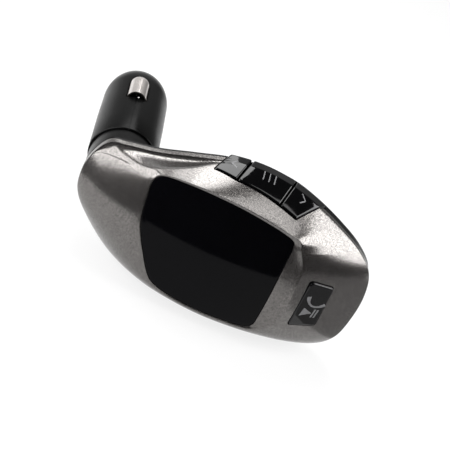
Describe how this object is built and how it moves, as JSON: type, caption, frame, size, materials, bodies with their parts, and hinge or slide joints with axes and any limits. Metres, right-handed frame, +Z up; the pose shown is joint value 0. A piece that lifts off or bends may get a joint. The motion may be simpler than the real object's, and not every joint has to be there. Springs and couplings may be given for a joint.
{
  "type": "car fm transmitter",
  "caption": "Lighter-socket plug with sprung contacts that carries a wide lens-shaped swivelling head with a dark display window, keys along the top and a call key.",
  "frame": {"origin": "on the plug's axis, on its shoulder against the head", "axes": "+Y is the way the plug points, -Y is the way the display faces, +X runs along the head to its far end, +Z is up"},
  "size_m": [0.0955, 0.0735, 0.0513],
  "materials": {
    "grey_paint": "metallic gunmetal paint over moulded plastic",
    "gloss_black": "polished black plastic",
    "window_glass": "polished smoked acrylic, black when off",
    "tape": "black adhesive tape",
    "lcd": "display module, off",
    "frame_plastic": "moulded natural plastic",
    "circuit_board": "green solder mask",
    "chips": "moulded component bodies",
    "tinned_steel": "tinned sheet",
    "wire_red": "insulated wire",
    "wire_black": "insulated lead",
    "screw_steel": "zinc black screw",
    "satin_black": "satin moulded heat-resistant plastic",
    "nickel": "nickel-plated brass",
    "spring_steel": "spring steel wire",
    "bronze": "bronze washer"
  },
  "bodies": {
    "plug": {"plug_half_left": "satin_black", "plug_half_right": "satin_black", "centre_spring": "spring_steel", "contact_springs": "spring_steel", "plug_board": "circuit_board", "plug_parts": "chips", "power_lead": "wire_black", "swivel_ring": "frame_plastic", "friction_washer": "bronze"},
    "head": {"front_shell": "grey_paint", "rear_shell": "gloss_black", "window_glass": "window_glass", "glass_tape": "tape", "lcd_panel": "lcd", "lcd_holder": "frame_plastic", "main_board": "circuit_board", "board_parts": "chips", "key_board": "circuit_board", "key_switches": "chips", "call_board": "circuit_board", "call_switch": "chips", "usb_port": "tinned_steel", "card_slot": "tinned_steel", "lead_socket": "frame_plastic", "microphone": "tinned_steel", "antenna_wire": "wire_red", "shell_screws": "screw_steel"},
    "prev_key": {"prev_key": "gloss_black"},
    "channel_key": {"channel_key": "gloss_black"},
    "next_key": {"next_key": "gloss_black"},
    "call_key": {"call_key": "gloss_black"},
    "centre_contact": {"centre_contact": "nickel"},
    "top_contact": {"top_contact": "nickel"},
    "under_contact": {"under_contact": "nickel"}
  },
  "joints": [
    {"name": "head_swivel", "type": "hinge", "parent": "plug", "child": "head", "pos_m": [0, 0, 0], "axis": [0, 1, 0], "range_deg": [-149, 120]},
    {"name": "prev_key_press", "type": "slide", "parent": "head", "child": "prev_key", "axis": [0, 0, -1], "range_m": [0, 0.0005], "stiffness_N_per_m": 1500, "springref_m": -0.0003},
    {"name": "channel_key_press", "type": "slide", "parent": "head", "child": "channel_key", "axis": [0, 0, -1], "range_m": [0, 0.0005], "stiffness_N_per_m": 1500, "springref_m": -0.0003},
    {"name": "next_key_press", "type": "slide", "parent": "head", "child": "next_key", "axis": [0, 0, -1], "range_m": [0, 0.0005], "stiffness_N_per_m": 1500, "springref_m": -0.0003},
    {"name": "call_key_press", "type": "slide", "parent": "head", "child": "call_key", "axis": [-0.4305, 0.9026, 0], "range_m": [0, 0.0005], "stiffness_N_per_m": 1500, "springref_m": -0.0003},
    {"name": "centre_contact_press", "type": "slide", "parent": "plug", "child": "centre_contact", "axis": [0, -1, 0], "range_m": [0, 0.0026], "stiffness_N_per_m": 1500, "springref_m": -0.001},
    {"name": "top_contact_press", "type": "slide", "parent": "plug", "child": "top_contact", "axis": [0.2504, 0, -0.9681], "range_m": [0, 0.00195], "stiffness_N_per_m": 1500, "springref_m": -0.0008},
    {"name": "under_contact_press", "type": "slide", "parent": "plug", "child": "under_contact", "axis": [-0.2504, 0, 0.9681], "range_m": [0, 0.00195], "stiffness_N_per_m": 1500, "springref_m": -0.0008}
  ]
}
